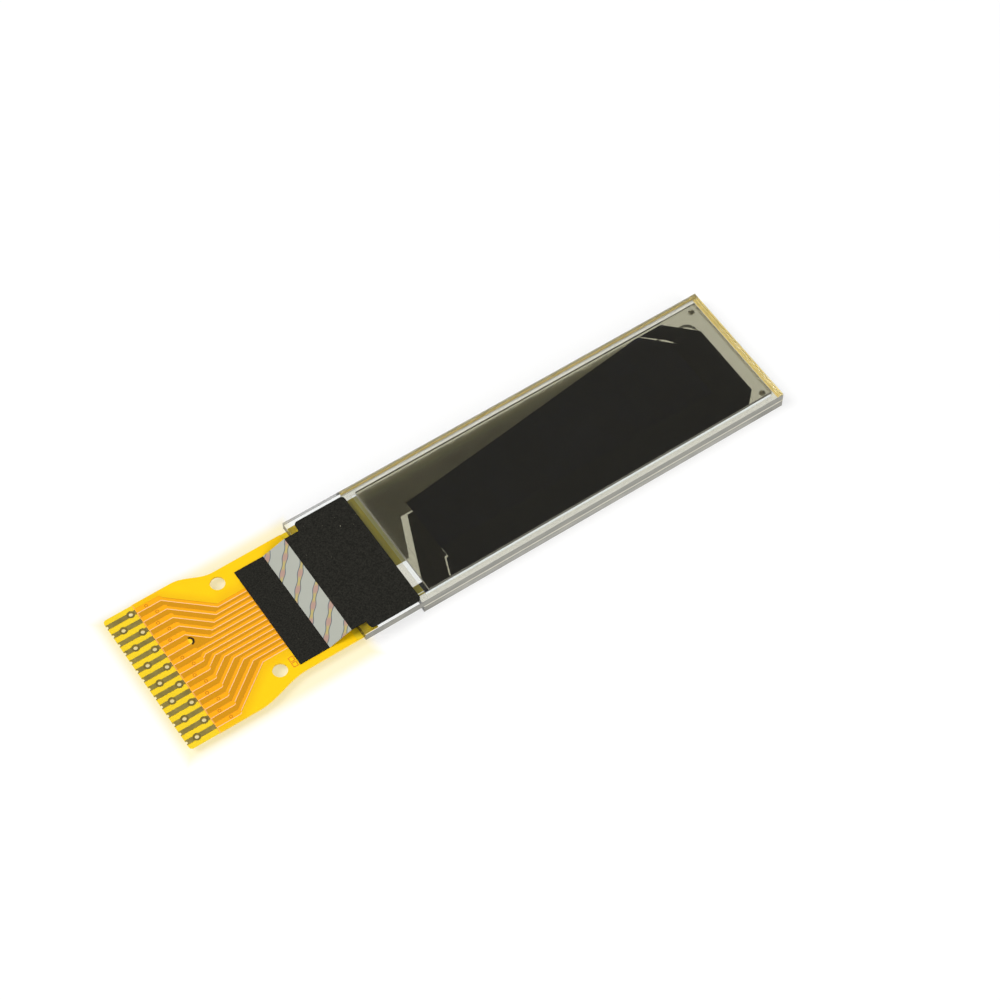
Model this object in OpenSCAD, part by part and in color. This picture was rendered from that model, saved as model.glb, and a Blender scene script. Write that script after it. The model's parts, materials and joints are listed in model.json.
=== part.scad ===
// Small chip-on-glass OLED display panel with a fourteen-pad solder tail.
//
// Two glasses are bonded face to face. The front glass is longer, and its bare ledge carries
// the driver chip and the end of a flexible printed tail on its underside. A black tape
// covers the ledge and steps down onto the tail.
//
// Millimetres. The panel lies on its back: +X runs from the solder tail to the plain end,
// +Z looks out of the display, and the origin is the centre of the footprint on the table.

/* [Picture area] */
// Number of pixel columns
column_count = 96; // [64:8:128]
// Number of pixel rows
row_count = 16; // [8:4:32]
// Spacing of the columns
column_pitch = 0.18; // [0.12:0.01:0.3]
// Spacing of the rows
row_pitch = 0.2; // [0.15:0.01:0.3]
// Gap between neighbouring stripes
stripe_gap = 0.02; // [0.01:0.005:0.04]

/* [Glass] */
// Thickness of each glass
glass_t = 0.5; // [0.3:0.05:0.7]
// Bare ledge of the front glass, past the back glass
ledge_len = 3.5; // [2.9:0.1:5]
// From the back glass's ledge edge to the first column
active_inset = 2.55; // [2:0.05:4]
// From the last column to the plain end of the glass
end_border = 2.99; // [2.4:0.01:4]
// From the picture area to each long edge of the glass
side_border = 2.41; // [2:0.01:4]
// Gap between the two glasses
seal_t = 0.05; // [0.045:0.005:0.1]
// Width of the seal round the back glass
seal_w = 0.43; // [0.3:0.01:0.48]
// Depth of the pocket etched in the back glass
pocket_depth = 0.25; // [0.15:0.01:0.3]
// From the back glass's edge to the pocket
pocket_rim = 1.2; // [0.8:0.05:1.6]
// Corner radius of the pocket
pocket_r = 0.6; // [0.3:0.1:1]

/* [Polarizer] */
// Thickness of the polarizer
polarizer_t = 0.2; // [0.1:0.01:0.3]
// From the back glass's ledge edge to the polarizer
polarizer_inset = 0.57; // [0.3:0.01:0.8]
// From the polarizer to the edges of the front glass
polarizer_border = 0.5; // [0.3:0.05:0.8]
// How far the polarizer sits off centre
polarizer_shift = -0.1; // [-0.2:0.05:0.2]

/* [Leads on the glass] */
// Thickness of the metal leads and of the column stripes
film_t = 0.015; // [0.01:0.001:0.018]
// Thickness of the light-emitting layer
emitter_t = 0.01; // [0.005:0.001:0.012]
// From the leads to each long edge of the glass
lead_border = 0.55; // [0.5:0.01:0.8]
// From the leads to the plain end of the glass
lead_end_border = 1.12; // [0.9:0.01:1.6]
// Corner cut of the leads beyond the segment fan
far_corner_cut = 1.55; // [0.5:0.05:1.8]
// Corner cut of the leads on the other side
near_corner_cut = 0.75; // [0.3:0.05:1.5]
// Slit between two groups of leads
lead_slit = 0.1; // [0.05:0.01:0.15]
// Clear window between the lead groups: its place across the ledge, low end and high end
window_y = [-2.82, -1.28]; // [-3:0.01:3]
// Size of the alignment dots
mark_d = 0.35; // [0.2:0.01:0.5]

/* [Driver chip] */
// From the tail end of the glass to the chip
chip_inset = 1.55; // [1.3:0.05:1.6]
// Width of the chip
chip_w = 0.9; // [0.7:0.05:1]
// Length of the chip
chip_len = 6.7; // [5:0.1:7]
// Thickness of the chip
chip_t = 0.3; // [0.2:0.01:0.35]
// How far the bond film stands out round the chip
chip_film_margin = 0.08; // [0.05:0.01:0.12]
// Depth of the clear coat over the leads of the ledge
coat_t = 0.1; // [0.05:0.01:0.15]

/* [Tail] */
// From the tail end of the glass to the tips of the pads
tail_reach = 10.5; // [9.8:0.1:16]
// How far the tail runs in under the glass
tail_overlap = 0.9; // [0.6:0.05:1.1]
// Thickness of the base film
base_t = 0.03; // [0.025:0.005:0.05]
// Thickness of the copper on each side
copper_t = 0.02; // [0.012:0.001:0.035]
// Thickness of each coverlay
coverlay_t = 0.045; // [0.04:0.005:0.06]
// Half width of the tail at the narrow end
neck_half = 3.75; // [3:0.05:4]
// Margin of the film beyond the outermost pads
pad_margin = 0.45; // [0.3:0.05:0.8]
// From the pad tips to the start of the taper
wide_len = 4; // [3.4:0.1:5]
// Length of the taper on the +Y and the -Y side
taper_len = [2.1, 3.2]; // [1.5:0.1:3.4]
// Corner radius at the pad end
tail_corner_r = 0.2; // [0.1:0.05:0.4]
// From the end of the coverlay to the glass
coverlay_stop = 0.35; // [0.2:0.05:0.6]
// Diameter of the two registration holes
locating_d = 0.8; // [0.5:0.05:1]
// From the tail end of the glass to the registration holes
locating_x = 4.5; // [4:0.1:6]
// Spacing of the registration holes
locating_span = 6.1; // [5.6:0.1:6.4]

/* [Contacts] */
// Number of solder pads
pad_count = 14; // [10:1:16]
// The pad that is joined to nothing
spare_pad = 5; // [0:1:9]
// Spacing of the pads
pad_pitch = 0.605; // [0.55:0.005:0.7]
// Width of a bare pad
pad_w = 0.27; // [0.2:0.01:0.32]
// Length of a bare pad
pad_len = 1.7; // [1.2:0.1:2.2]
// Width of a contact under the coverlay
covered_w = 0.32; // [0.2:0.01:0.36]
// From the end of the coverlay to the point where the lines fan in
covered_len = 1.35; // [1:0.05:1.8]
// Width of a line
line_w = 0.2; // [0.12:0.01:0.22]
// Spacing of the lines
line_pitch = 0.333; // [0.3:0.001:0.36]
// How far the lines sit off centre
line_shift = -0.08; // [-0.15:0.01:0.15]
// Angle of the fanned lines on the +Y and the -Y side
fan_angle = [41.5, 37]; // [35:0.5:50]
// Diameter of the solder holes in the pads
pad_hole_d = 0.22; // [0.15:0.01:0.3]
// Diameter of the copper ring round a solder hole
pad_ring_d = 0.42; // [0.36:0.01:0.5]
// From the pad tips to the solder holes of the even and the odd pads
pad_hole_x = [1.4, 0.63]; // [0.5:0.01:1.5]
// Diameter of the half holes at the pad tips
tip_hole_d = 0.18; // [0.1:0.01:0.24]
// Diameter of the plated posts under the coverlay
post_d = 0.17; // [0.1:0.01:0.2]
// From the end of the coverlay to the posts of the even and the odd pads
post_x = [0.6, 0.9]; // [0.4:0.05:1.1]
// Wall of the plated holes
plating_t = 0.03; // [0.02:0.005:0.04]

/* [Tape] */
// Thickness of the tape
tape_t = 0.06; // [0.04:0.01:0.1]
// From the tail end of the glass to the wide head of the tape
head_inset = 0.45; // [0.3:0.05:0.8]
// Gap between the tape's head and the back glass's ledge edge
head_gap = 0.03; // [0:0.01:0.2]
// Low and high side of the head
head_y = [-3.85, 3.65]; // [-3.9:0.05:3.9]
// Corner radius of the head
head_r = 0.22; // [0.1:0.02:0.4]
// Low and high side of the neck and of the stretch on the tail
neck_y = [-3.35, 3.1]; // [-3.6:0.05:3.6]
// How far the tape runs level past the end of the glass
tape_overhang = 0.43; // [0.2:0.01:0.6]
// Length of the sloping stretch
ramp_len = 1.32; // [1:0.01:1.8]
// Length of the stretch that lies on the tail
tape_foot_len = 1.73; // [1:0.01:1.9]

/* [Hidden] */
$fn = 48;
pad_names = [for (i = [1 : pad_count]) str("contact_", i < 10 ? "0" : "", i)];

// Margin by which a cut runs past a face
cut = 0.1;
// Room round each plated barrel and post in its hole
barrel_clearance = 0.005;
// Even steps of the tapered edge and of a rounded corner
taper_steps = 14;
corner_steps = 6;

// Plan of the glass. X is measured from the tail end of the front glass here.
active_x = ledge_len + active_inset;
active_len = column_count * column_pitch - stripe_gap;
active_y = (row_count * row_pitch - stripe_gap) / 2;
glass_len = active_x + active_len + end_border;
glass_half = active_y + side_border;
cap_len = glass_len - ledge_len;

// Heights above the table
cap_z = glass_t;
front_z = cap_z + seal_t;
film_z = front_z - film_t;
emitter_z = film_z - emitter_t;
cathode_z = emitter_z - film_t;
front_top = front_z + glass_t;

// Extent of the lead films, and of the picture area's far corners
lead_half = glass_half - lead_border;
lead_end = glass_len - lead_end_border;
bump_inset = 0.25;
lead_start = chip_inset + chip_w - bump_inset;
// The lead groups start within the chip's length and reach their full spread before the seal
chip_half = chip_len / 2;
spread_x = ledge_len - 0.3;
// Widths of the near side's two groups at the chip
right_bundle_w = 0.1;
left_bundle_w = 0.5;
// Where the near side's two groups part, measured in from the outer edge of the leads
group_line = 0.15;
last_column_x = active_x + active_len;
// Where the segment fan's lower edge meets the outer edge of the leads
fan_tip = [last_column_x - 1.3, lead_half];
// Top of the clear window, where the lead groups reach the first column
window_top = [active_x, 1.05];

// The tail hangs under the ledge on its bond film
bond_t = film_t;
copper_top = film_z - bond_t;
copper_z = copper_top - copper_t;
base_z = copper_z - base_t;
back_copper_z = base_z - copper_t;
coverlay_top = copper_z + coverlay_t;
tail_half = (pad_count - 1) * pad_pitch / 2 + pad_margin;
coverlay_x = -tail_reach + pad_len;
fan_x = coverlay_x + covered_len;
line_end_x = tail_overlap - 0.05;
line_count = pad_count - 1;
post_hole_d = post_d + 2 * barrel_clearance;
barrel_d = pad_hole_d + 2 * plating_t;
barrel_hole_d = barrel_d + 2 * barrel_clearance;

// The footprint's centre is the origin
origin_x = (glass_len - tail_reach) / 2;

function unit(v) = v / norm(v);
function left_of(v) = [-v[1], v[0]];
function heading(path, i) = unit(path[i + 1] - path[i]);
// Step sideways from a path's corner i, so that both stretches keep the offset
function side_step(path, i, offset) =
    i == 0 ? left_of(heading(path, 0)) * offset :
    i == len(path) - 1 ? left_of(heading(path, i - 1)) * offset :
    let (s = left_of(heading(path, i - 1)) + left_of(heading(path, i)))
    2 * offset * s / (s * s);
// Outline of a band that follows a path between two offsets
function band(path, low, high) = concat(
    [for (i = [0 : len(path) - 1]) path[i] + side_step(path, i, high)],
    [for (i = [len(path) - 1 : -1 : 0]) path[i] + side_step(path, i, low)]);
// Points of a quarter circle about a centre, from one angle to another
function corner(centre, r, from, to) =
    [for (k = [0 : corner_steps])
        let (a = from + (to - from) * k / corner_steps)
        centre + r * [cos(a), sin(a)]];

function pad_y(i) = ((pad_count - 1) / 2 - i) * pad_pitch;
function line_y(k) = line_shift + ((line_count - 1) / 2 - k) * line_pitch;
// A contact past the spare one takes the line before its own number
function line_of(i) = i < spare_pad ? i : i - 1;
function fan_side(i) = i < spare_pad ? 0 : 1;
// Pads and posts are staggered: 0 or 1 picks one of a pair of places
function stagger(i) = i % 2;
function fan_end_x(i) =
    fan_x + abs(pad_y(i) - line_y(line_of(i))) / tan(fan_angle[fan_side(i)]);
// Smooth taper of the tail's half width
function taper_edge(side, far_half, near_half, x, len) =
    [for (k = [0 : taper_steps])
        let (t = k / taper_steps)
        [x + len * t, side * (far_half + (near_half - far_half) * (1 - cos(180 * t)) / 2)]];

module placed() {
    translate([-origin_x, 0, 0]) children();
}

// A plate that is given by its lowest corner and its size
module plate(low, size) {
    placed() translate(low) cube(size);
}

// A film cut to an outline and laid at a height
module film(z, t) {
    placed() translate([0, 0, z]) linear_extrude(t) children();
}

module rounded_rect(low, high, r) {
    polygon(concat(
        corner([high[0] - r, high[1] - r], r, 0, 90),
        corner([low[0] + r, high[1] - r], r, 90, 180),
        corner([low[0] + r, low[1] + r], r, 180, 270),
        corner([high[0] - r, low[1] + r], r, 270, 360)));
}

// ---- Glass and polarizer ----

module substrate_glass() {
    color([0.86, 0.93, 0.9, 0.45])
    plate([0, -glass_half, front_z], [glass_len, 2 * glass_half, glass_t]);
}

module cap_glass() {
    color([0.84, 0.92, 0.89, 0.5])
    difference() {
        plate([ledge_len, -glass_half, 0], [cap_len, 2 * glass_half, glass_t]);
        film(glass_t - pocket_depth, pocket_depth + cut)
            rounded_rect([ledge_len + pocket_rim, -glass_half + pocket_rim],
                         [glass_len - pocket_rim, glass_half - pocket_rim], pocket_r);
    }
}

module desiccant_sheet() {
    margin = 0.6;
    rim = pocket_rim + margin;
    color([0.78, 0.78, 0.75])
    plate([ledge_len + rim, -glass_half + rim, glass_t - pocket_depth],
          [cap_len - 2 * rim, 2 * (glass_half - rim), 0.1]);
}

module perimeter_seal() {
    color([0.93, 0.86, 0.55, 0.8])
    difference() {
        film(cap_z, seal_t) difference() {
            translate([ledge_len, -glass_half]) square([cap_len, 2 * glass_half]);
            translate([ledge_len + seal_w, -glass_half + seal_w])
                square([cap_len - 2 * seal_w, 2 * (glass_half - seal_w)]);
        }
        // The leads cross the seal on their way in from the chip
        film(film_z, film_t + cut) {
            segment_outline();
            common_left_outline();
            common_right_outline();
        }
    }
}

module front_polarizer() {
    half = glass_half - polarizer_border;
    x = ledge_len + polarizer_inset;
    color([0.13, 0.13, 0.15, 0.85])
    plate([x, polarizer_shift - half, front_top],
          [glass_len - polarizer_border - x, 2 * half, polarizer_t]);
}

// ---- Films on the inside of the front glass ----

// Leads that run along the far side and turn down into the columns
module segment_outline() {
    polygon([
        [lead_start, window_y[1]],
        [lead_start, chip_half],
        [spread_x, lead_half],
        fan_tip,
        [active_x, active_y],
        window_top,
        [active_x - 0.7, window_top[1]],
        [ledge_len + 0.87, window_y[1]]]);
}

// Leads of the rows that are fed from the tail side
module common_left_outline() {
    outer_y = -lead_half + group_line;
    start_y = -chip_half + group_line;
    polygon([
        [lead_start, max(window_y[0], start_y + left_bundle_w)],
        [spread_x, window_y[0]],
        [ledge_len + 0.65, window_y[0]],
        [active_x - 0.35, window_top[1] - lead_slit],
        [active_x, window_top[1] - lead_slit],
        [active_x, -active_y - 0.65],
        [active_x - 0.15, -active_y - 0.65],
        [active_x - 0.55, outer_y],
        [spread_x, outer_y],
        [lead_start, start_y]]);
}

// Leads of the other rows, which run along the near side and round the plain end
module common_right_outline() {
    inner_x = last_column_x + 0.05;
    inner_y = -active_y - 0.15;
    outer_y = -lead_half + group_line - lead_slit / 2;
    polygon([
        [lead_start, -chip_half],
        [spread_x, -lead_half],
        [lead_end - near_corner_cut, -lead_half],
        [lead_end, -lead_half + near_corner_cut],
        [lead_end, lead_half - far_corner_cut],
        [lead_end - far_corner_cut, lead_half],
        fan_tip + [2 * lead_slit, 0],
        [last_column_x - 0.05, fan_tip[1] - 1.05 + lead_slit],
        [inner_x + 0.55, active_y],
        [inner_x, active_y],
        [inner_x, inner_y],
        [active_x + 0.02, inner_y],
        [active_x + 0.02, -active_y - 0.65 - lead_slit],
        [active_x - 0.1, -active_y - 0.65 - lead_slit],
        [active_x - 0.5, outer_y],
        [spread_x, outer_y],
        [lead_start, -chip_half + right_bundle_w]]);
}

// Room above the picture area in which the columns run up to the segment fan
module column_outline() {
    polygon([
        [active_x, -active_y],
        [active_x, active_y],
        fan_tip,
        fan_tip + [lead_slit, 0],
        [last_column_x, fan_tip[1] - 1.2],
        [last_column_x, -active_y]]);
}

module segment_leads() {
    color([0.42, 0.39, 0.2])
    film(film_z, film_t) segment_outline();
}

module common_leads_left() {
    color([0.2, 0.2, 0.2])
    film(film_z, film_t) common_left_outline();
}

module common_leads_right() {
    color([0.12, 0.12, 0.14])
    film(film_z, film_t) common_right_outline();
}

module column_anodes() {
    color([0.1, 0.11, 0.16])
    film(film_z, film_t) intersection() {
        column_outline();
        for (c = [0 : column_count - 1])
            translate([active_x + c * column_pitch, -glass_half])
                square([column_pitch - stripe_gap, 2 * glass_half]);
    }
}

module emitter_layer() {
    color([0.09, 0.1, 0.14])
    plate([active_x, -active_y, emitter_z], [active_len, 2 * active_y, emitter_t]);
}

// Each row ends in a foot that rises to its lead: even rows on the tail side, odd rows opposite
module row_cathodes() {
    foot_len = 0.3;
    gap = 0.06;
    color([0.55, 0.56, 0.58])
    for (r = [0 : row_count - 1]) {
        y = active_y - row_pitch * (r + 1) + stripe_gap;
        on_tail_side = r >= row_count / 2;
        foot_x = on_tail_side ? active_x - gap - foot_len : last_column_x + gap;
        row_x = on_tail_side ? active_x - gap - foot_len : active_x;
        row_len = active_len + gap + foot_len;
        union() {
            plate([row_x, y, cathode_z], [row_len, row_pitch - stripe_gap, film_t]);
            plate([foot_x, y, cathode_z],
                  [foot_len, row_pitch - stripe_gap, film_t + emitter_t]);
        }
    }
}

module alignment_marks() {
    inset = 0.8;
    color([0.35, 0.36, 0.34])
    for (side = [-1, 1])
        placed() translate([glass_len - inset, side * (glass_half - inset), film_z])
            cylinder(d = mark_d, h = film_t);
}

// Lines between the tail and the chip, one for each line of the tail
module input_leads() {
    color([0.45, 0.42, 0.24])
    for (k = [0 : line_count - 1])
        plate([0.05, line_y(k) - line_w / 2, film_z],
              [chip_inset + bump_inset - 0.05, line_w, film_t]);
}

// ---- Underside of the ledge ----

module chip_bond_film() {
    color([0.75, 0.72, 0.6])
    plate([chip_inset - chip_film_margin, -chip_len / 2 - chip_film_margin, copper_top],
          [chip_w + 2 * chip_film_margin, chip_len + 2 * chip_film_margin, bond_t]);
}

module driver_chip() {
    color([0.3, 0.31, 0.34])
    plate([chip_inset, -chip_len / 2, copper_top - chip_t], [chip_w, chip_len, chip_t]);
}

module flex_bond_film() {
    half = line_count * line_pitch / 2 + 0.1;
    color([0.75, 0.72, 0.6])
    plate([0.05, line_shift - half, copper_top], [tail_overlap - 0.1, 2 * half, bond_t]);
}

// Clear coat from the tail to the back glass, with the chip standing out of it
module lead_coating() {
    side = 0.4;
    gap = 0.02;
    color([0.8, 0.85, 0.9, 0.5])
    difference() {
        plate([tail_overlap + gap, -glass_half + side, film_z - coat_t],
              [ledge_len - tail_overlap - gap, 2 * (glass_half - side), coat_t]);
        plate([chip_inset, -chip_len / 2, film_z - coat_t - cut],
              [chip_w, chip_len, coat_t + 2 * cut]);
        plate([chip_inset - chip_film_margin, -chip_len / 2 - chip_film_margin, copper_top],
              [chip_w + 2 * chip_film_margin, chip_len + 2 * chip_film_margin, bond_t + cut]);
    }
}

// ---- Flexible tail ----

module tail_outline(from_x, to_x) {
    taper_x = -tail_reach + wide_len;
    intersection() {
        polygon(concat(
            corner([-tail_reach + tail_corner_r, tail_half - tail_corner_r],
                   tail_corner_r, 180, 90),
            taper_edge(1, tail_half, neck_half, taper_x, taper_len[0]),
            [[tail_overlap, neck_half], [tail_overlap, -neck_half]],
            [for (p = reverse(taper_edge(-1, tail_half, neck_half, taper_x, taper_len[1]))) p],
            corner([-tail_reach + tail_corner_r, -tail_half + tail_corner_r],
                   tail_corner_r, 270, 180)));
        translate([from_x, -glass_half - tail_half])
            square([to_x - from_x, 2 * (glass_half + tail_half)]);
    }
}

function reverse(list) = [for (i = [len(list) - 1 : -1 : 0]) list[i]];

module locating_holes() {
    for (side = [-1, 1])
        placed() translate([-locating_x, side * locating_span / 2, 0])
            cylinder(d = locating_d, h = front_top);
}

module at_pad_hole(i) {
    placed() translate([-tail_reach + pad_hole_x[stagger(i)], pad_y(i), 0]) children();
}

module at_post(i) {
    placed() translate([coverlay_x + post_x[stagger(i)], pad_y(i), 0]) children();
}

module at_tip(i) {
    placed() translate([-tail_reach, pad_y(i), 0]) children();
}

// Every second pad's hole lies further back, so that the rings clear each other.
// The spare pad has a solder hole and no post.
module flex_base_film() {
    color([0.98, 0.82, 0.2])
    difference() {
        film(base_z, base_t) tail_outline(-tail_reach, tail_overlap);
        locating_holes();
        for (i = [0 : pad_count - 1]) {
            at_pad_hole(i) cylinder(d = barrel_hole_d, h = front_top);
            at_tip(i) cylinder(d = tip_hole_d, h = front_top);
            if (i != spare_pad) at_post(i) cylinder(d = post_hole_d, h = front_top);
        }
    }
}

// Outline of one contact on the display's side of the tail
module contact_outline(i) {
    y = pad_y(i);
    k = line_of(i);
    translate([-tail_reach, y - pad_w / 2]) square([pad_len, pad_w]);
    translate([-tail_reach + pad_hole_x[stagger(i)], y]) circle(d = pad_ring_d);
    translate([coverlay_x, y - covered_w / 2]) square([covered_len, covered_w]);
    translate([fan_x, y]) circle(d = covered_w);
    if (i != spare_pad) {
        translate([fan_end_x(i), line_y(k)]) circle(d = line_w);
        polygon(band([[fan_x, y], [fan_end_x(i), line_y(k)], [line_end_x, line_y(k)]],
                     -line_w / 2, line_w / 2));
    }
}

// Outline of one contact on the back of the tail
module back_pad_outline(i) {
    translate([-tail_reach, pad_y(i) - pad_w / 2]) square([pad_len + covered_len, pad_w]);
    translate([-tail_reach + pad_hole_x[stagger(i)], pad_y(i)]) circle(d = pad_ring_d);
}

// Front line and pad, back pad, and the plated hole and post that join them
module contact(i) {
    color([0.5, 0.44, 0.2])
    difference() {
        union() {
            film(copper_z, copper_t) contact_outline(i);
            film(back_copper_z, copper_t) back_pad_outline(i);
            at_pad_hole(i) translate([0, 0, back_copper_z])
                cylinder(d = barrel_d, h = base_t + 2 * copper_t);
            if (i != spare_pad)
                at_post(i) translate([0, 0, back_copper_z])
                    cylinder(d = post_d, h = base_t + 2 * copper_t);
        }
        at_pad_hole(i) cylinder(d = pad_hole_d, h = front_top);
        at_tip(i) cylinder(d = tip_hole_d, h = front_top);
    }
}

module front_coverlay() {
    color([1, 0.72, 0.1])
    difference() {
        film(copper_z, coverlay_t) tail_outline(coverlay_x, -coverlay_stop);
        film(copper_z - cut, copper_t + cut)
            for (i = [0 : pad_count - 1]) contact_outline(i);
        locating_holes();
    }
}

module back_coverlay() {
    color([1, 0.74, 0.12])
    difference() {
        film(base_z - coverlay_t, coverlay_t) tail_outline(coverlay_x, tail_overlap);
        film(back_copper_z, copper_t + cut)
            for (i = [0 : pad_count - 1]) back_pad_outline(i);
        locating_holes();
    }
}

// ---- Tape ----

// One die-cut film: wide over the ledge, narrower over the step and on the tail
module light_shield_tape() {
    ramp_x = -tape_overhang - ramp_len;
    profile = [
        [ramp_x - tape_foot_len, coverlay_top],
        [ramp_x, coverlay_top],
        [-tape_overhang, front_top],
        [head_inset + head_r, front_top]];
    color([0.13, 0.13, 0.12])
    union() {
        placed() translate([0, neck_y[1], 0]) rotate([90, 0, 0])
            linear_extrude(neck_y[1] - neck_y[0]) polygon(band(profile, 0, tape_t));
        film(front_top, tape_t)
            rounded_rect([head_inset, head_y[0]], [ledge_len - head_gap, head_y[1]], head_r);
    }
}

front_polarizer();
substrate_glass();
input_leads();
segment_leads();
common_leads_left();
common_leads_right();
column_anodes();
emitter_layer();
row_cathodes();
alignment_marks();
perimeter_seal();
cap_glass();
desiccant_sheet();
driver_chip();
chip_bond_film();
flex_bond_film();
lead_coating();
flex_base_film();
front_coverlay();
back_coverlay();
light_shield_tape();
for (i = [0 : pad_count - 1])
    contact(i);
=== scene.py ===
"""Finishes, fine detail, light and camera for a small bare OLED display module.

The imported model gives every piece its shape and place. Lengths named here are in
millimetres, measured like the panel itself: x runs from the tail end of the front glass
towards the plain end, y across the panel, and z up from the table.
"""

from __future__ import annotations

import json
import logging
import math
from dataclasses import dataclass
from enum import Enum

import bpy
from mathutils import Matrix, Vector

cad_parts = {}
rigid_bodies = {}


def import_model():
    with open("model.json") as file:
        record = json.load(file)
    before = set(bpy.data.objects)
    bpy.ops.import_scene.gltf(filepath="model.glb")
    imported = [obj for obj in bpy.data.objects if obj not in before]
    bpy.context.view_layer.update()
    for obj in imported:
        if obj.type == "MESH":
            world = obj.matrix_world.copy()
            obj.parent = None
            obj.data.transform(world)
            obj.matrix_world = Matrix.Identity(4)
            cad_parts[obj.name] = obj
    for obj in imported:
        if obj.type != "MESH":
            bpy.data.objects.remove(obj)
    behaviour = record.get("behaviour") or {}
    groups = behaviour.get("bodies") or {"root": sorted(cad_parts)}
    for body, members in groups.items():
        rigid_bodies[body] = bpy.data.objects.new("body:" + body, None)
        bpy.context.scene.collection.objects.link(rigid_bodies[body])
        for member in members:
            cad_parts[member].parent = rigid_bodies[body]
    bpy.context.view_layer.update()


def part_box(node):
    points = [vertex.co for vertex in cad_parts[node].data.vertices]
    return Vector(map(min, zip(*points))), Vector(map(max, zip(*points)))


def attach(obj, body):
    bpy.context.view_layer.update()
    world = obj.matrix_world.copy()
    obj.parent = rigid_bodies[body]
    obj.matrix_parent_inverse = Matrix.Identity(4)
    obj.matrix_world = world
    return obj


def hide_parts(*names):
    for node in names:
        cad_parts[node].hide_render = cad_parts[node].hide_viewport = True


MM = 0.001
# Points this near to each other, or to a cutting plane, count as touching, in metres
TOUCHING = 1e-7
LOG = logging.getLogger("oled_module")

Colour = tuple[float, float, float]


def display(red: float, green: float, blue: float) -> Colour:
    """Turn a colour as a display shows it into the renderer's linear one.

    Args:
        red: Red from 0 to 255.
        green: Green from 0 to 255.
        blue: Blue from 0 to 255.

    Returns:
        The linear colour, each part from 0 to 1.
    """

    def linear(level: float) -> float:
        """Undo the display's curve for one channel."""
        share = level / 255
        if share <= 0.04045:
            return share / 12.92
        return ((share + 0.055) / 1.055) ** 2.4

    return (linear(red), linear(green), linear(blue))


# ---------------------------------------------------------------- shader bench


class Wire:
    """A number that changes over a surface. Its operators add Math nodes."""

    def __init__(self, bench: "Bench", socket: bpy.types.NodeSocket) -> None:
        """Wrap one output socket of a bench's node tree."""
        self.bench = bench
        self.socket = socket

    def _math(self, operation: str, *values: "Wire | float") -> "Wire":
        """Add one Math node and return its result."""
        node = self.bench.node(
            "ShaderNodeMath", {"operation": operation}, dict(enumerate(values))
        )
        return Wire(self.bench, node.outputs[0])

    def __add__(self, other: "Wire | float") -> "Wire":
        """Add."""
        return self._math("ADD", self, other)

    def __radd__(self, other: float) -> "Wire":
        """Add, with the number first."""
        return self._math("ADD", other, self)

    def __sub__(self, other: "Wire | float") -> "Wire":
        """Subtract."""
        return self._math("SUBTRACT", self, other)

    def __rsub__(self, other: float) -> "Wire":
        """Subtract from a number."""
        return self._math("SUBTRACT", other, self)

    def __mul__(self, other: "Wire | float") -> "Wire":
        """Multiply."""
        return self._math("MULTIPLY", self, other)

    def __truediv__(self, other: "Wire | float") -> "Wire":
        """Divide."""
        return self._math("DIVIDE", self, other)

    def __abs__(self) -> "Wire":
        """Size without sign."""
        return self._math("ABSOLUTE", self)

    def __gt__(self, other: "Wire | float") -> "Wire":
        """1 where this is greater, else 0."""
        return self._math("GREATER_THAN", self, other)

    def __lt__(self, other: "Wire | float") -> "Wire":
        """1 where this is less, else 0."""
        return self._math("LESS_THAN", self, other)

    def root(self) -> "Wire":
        """Square root."""
        return self._math("SQRT", self)

    def larger(self, other: "Wire | float") -> "Wire":
        """The larger of the two."""
        return self._math("MAXIMUM", self, other)

    def sine(self) -> "Wire":
        """Sine of an angle in radians."""
        return self._math("SINE", self)

    def repeat(self) -> "Wire":
        """The part after the decimal point, always from 0 to 1."""
        return self._math("WRAP", self, 1.0, 0.0)

    def step(self, low: float, high: float) -> "Wire":
        """Rise smoothly from 0 at low to 1 at high, which may be the smaller number."""
        node = self.bench.node(
            "ShaderNodeMapRange",
            {"interpolation_type": "SMOOTHSTEP"},
            {"Value": self, "From Min": low, "From Max": high},
        )
        return Wire(self.bench, node.outputs["Result"])

    def between(self, low: float, high: float, soft: float = 0.01) -> "Wire":
        """1 between two values and 0 outside, with soft edges."""
        return self.step(low - soft, low + soft) * self.step(high + soft, high - soft)


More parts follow.
